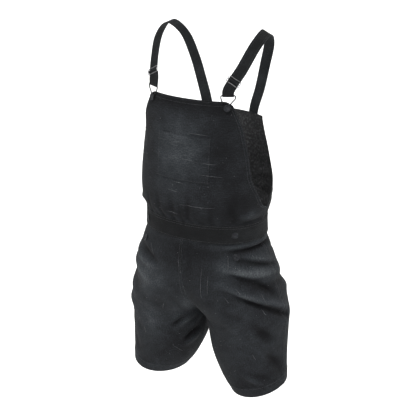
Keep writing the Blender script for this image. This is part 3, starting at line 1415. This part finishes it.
def yarns(name, lines, material):
    """Thin round yarns along lines, which taper at both ends."""
    points, faces = [], []
    turn = 2 * math.pi * np.arange(YARN_SIDES) / YARN_SIDES
    first = 0
    for line in lines:
        run = unit(np.gradient(line, axis=0))
        side = unit(np.cross(run, [0.2, 0.9, 0.3]))
        up = np.cross(run, side)
        t = np.linspace(0, 1, len(line))
        thick = (YARN_RADIUS * np.sin(math.pi * t) ** 0.6 + YARN_END)[:, None, None]
        around = np.cos(turn)[:, None] * side[:, None] + np.sin(turn)[:, None] * up[:, None]
        points.append((line[:, None] + thick * around).reshape(-1, 3))
        faces += tube_faces(len(line), YARN_SIDES, first)
        first += len(line) * YARN_SIDES
    piece = new_object(name, np.concatenate(points), faces, [material])


def make_looks():
    return {
        # Cotton twill with a black warp, washed until it fades blue-grey: matt, with soft pale
        # patches and a faint diagonal. Its slubs run across the bib and down the legs.
        "bib_denim": denim("faded_black_bib_denim", BLUE_GREY, (16, 1.8), 0.34),
        "pocket_denim": denim("faded_black_pocket_denim", BLUE_GREY, (16, 1.8), 0.34),
        "leg_denim": denim("faded_black_leg_denim", BLUE_GREY, (1.8, 14), 0.37),
        # The same twill where it has kept its dye: flatter, darker and neutral
        "back_denim": denim("washed_black_back_denim", GREY, (2, 14), 0.34),
        "band_denim": denim("dark_black_band_denim", GREY, (9, 2), 0.28),
        # Doubled twill, pressed flat: charcoal, and paler along its rubbed rims
        "strap_cloth": denim("charcoal_strap_twill", GREY, (1.6, 9), 0.35),
        "inside": wrong_side(),
        # A little paler than the cloth, so that its rows show as fine dots
        "thread": yarn("grey_topstitch_thread", "#17181a", "#323437", 0.7),
        # Close to the cloth's own tone: these rows show only as small beads
        "dark_thread": yarn("charcoal_seam_thread", "#131415", "#27282a", 0.75),
        # Undyed weft, pale where it has worn through the black
        "slub": yarn("pale_slub_yarn", "#292a2c", "#4e5052", 0.85),
        # Pale fluff, which shows only as faint specks
        "lint": yarn("grey_lint", "#434445", "#6c6d6e", 0.9),
        # Drawn wire, plated bright: thin pale lines with a soft gloss
        "steel": metal("bright_steel_wire", [(0.3, "#5c5c5d"), (0.7, "#8a8a8b")], 0.35, 3.85),
        # The same wire, blackened: dark, with a dull gloss along its bends
        "dark_steel": metal("blackened_steel_wire", [(0.3, "#121213"), (0.7, "#2a2a2c")], 0.45, 3.85),
        # Pressed brass with a grey-black skin: dull, with a little light on the rim
        "gunmetal": metal("dull_gunmetal", [(0.3, "#1e1f21"), (0.7, "#38393c")], 0.6, 5),
    }


def make_metal(looks):
    """The sliders, buckles and buttons of both sides."""
    on_torso = seat(band_point, WAIST_BUTTON[0] * DEGREES, WAIST_BUTTON[1])
    for side, word in ((1, "left"), (-1, "right")):
        bright = looks["steel"], "buckle_metal"
        blackened = looks["dark_steel"], "buckle_metal"
        dark = looks["gunmetal"], "button_metal"
        metal_piece(f"strap_slider_{word}_wire", slider_parts(), side, *bright, f"strap_slider_{word}")
        metal_piece(f"bib_buckle_{word}_wire", buckle_parts(), side, *blackened, f"bib_buckle_{word}")
        bib_disc = button_parts(BIB_SEAT, BUCKLE_EASE + 2 * LOOP_WIRE + SEAM_GAP)
        metal_piece(f"bib_button_{word}_disc", bib_disc, side, *dark, f"bib_button_{word}")
        waist_disc = button_parts(on_torso, BUTTON_SEAT)
        metal_piece(f"waist_button_{word}_disc", waist_disc, side, *dark, f"waist_button_{word}")
        hip_angle = -side * HIP_BUTTON[0] * DEGREES
        hip = seat(lambda a, z: leg_point(side, -side * a, z), hip_angle, HIP_BUTTON[1])
        hip_disc = button_parts(hip, BUTTON_SEAT)
        metal_piece(f"hip_button_{word}_disc", hip_disc, 1, *dark, f"hip_button_{word}")


def main():
    camera()
    looks = make_looks()
    panels = make_panels(looks)
    rows = panel_stitches(panels)
    rows["stitches_straps"] = []
    for side, word in ((1, "left"), (-1, "right")):
        rows["stitches_straps"] += make_strap(side, word, looks["strap_cloth"])
    make_metal(looks)
    tree, sockets = stitch_tree()
    for name, lines in rows.items():
        look = "dark_thread" if name in ("stitches_pocket", "stitches_legs", "stitches_straps") else "thread"
        sew(tree, sockets, name, lines, looks[look])
    yarns("slubs", slub_lines(), looks["slub"])
    yarns("lint", lint_lines(), looks["lint"])
    lights()
    make_floor()


def lights():
    """Three suns, which light the whole floor alike, and an even pale sky."""
    for name, (side, above, softness, strength) in LIGHTS.items():
        lamp = bpy.data.lights.new(name, "SUN")
        lamp.angle = softness * DEGREES
        lamp.energy = strength
        aimed(lamp, look_from(side, above, LIGHT_DISTANCE))
    world = bpy.data.worlds.new("studio")
    world.use_nodes = True
    sky = world.node_tree.nodes["Background"]
    feed(world.node_tree, sky, {"Color": (1, 1, 1, 1), "Strength": SKY_STRENGTH})
    bpy.context.scene.world = world
    bpy.context.scene.view_settings.view_transform = "Standard"


def make_floor():
    """A wide pale paper floor, which turns up all round."""
    material, tree, shader = new_material("pale_floor")
    feed(tree, shader, {"Base Color": linear("#f4f4f4"), "Roughness": 0.9})
    turn = 2 * math.pi * np.arange(FLOOR_SIDES) / FLOOR_SIDES
    rings = []
    for radius, height in BACKDROP:
        level = np.full(FLOOR_SIDES, height + FLOOR_HEIGHT)
        rings.append(np.stack([radius * np.cos(turn), radius * np.sin(turn), level], -1))
    mesh = bpy.data.meshes.new("floor")
    faces = tube_faces(len(rings), FLOOR_SIDES, caps=False)
    mesh.from_pydata(np.concatenate(rings).tolist(), [], faces)
    mesh.polygons.foreach_set("use_smooth", np.ones(len(mesh.polygons), bool))
    mesh.materials.append(material)
    floor = bpy.data.objects.new("floor", mesh)
    bpy.context.scene.collection.objects.link(floor)


main()
